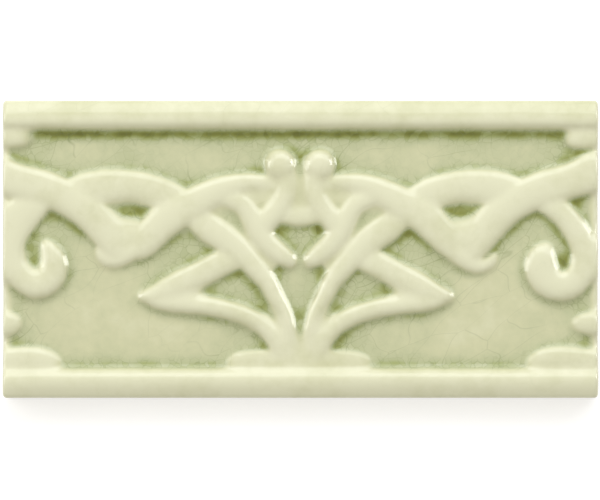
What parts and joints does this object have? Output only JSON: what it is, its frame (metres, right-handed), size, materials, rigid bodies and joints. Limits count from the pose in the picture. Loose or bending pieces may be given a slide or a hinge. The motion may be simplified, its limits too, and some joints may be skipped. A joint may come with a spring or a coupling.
{
  "type": "relief wall tile",
  "caption": "Rectangular glazed border tile with a bead along each long edge and a relief of interlaced straps, for setting in a row on a wall.",
  "frame": {"origin": "middle of the flat back, on the plane the tile lies on", "axes": "+X along the tile's length, +Y across it to the upper bead, +Z out of the glazed face"},
  "size_m": [0.152, 0.076, 0.0108],
  "materials": {
    "celadon_glaze": "gloss"
  },
  "bodies": {
    "root": {"tile": "celadon_glaze"}
  },
  "joints": []
}
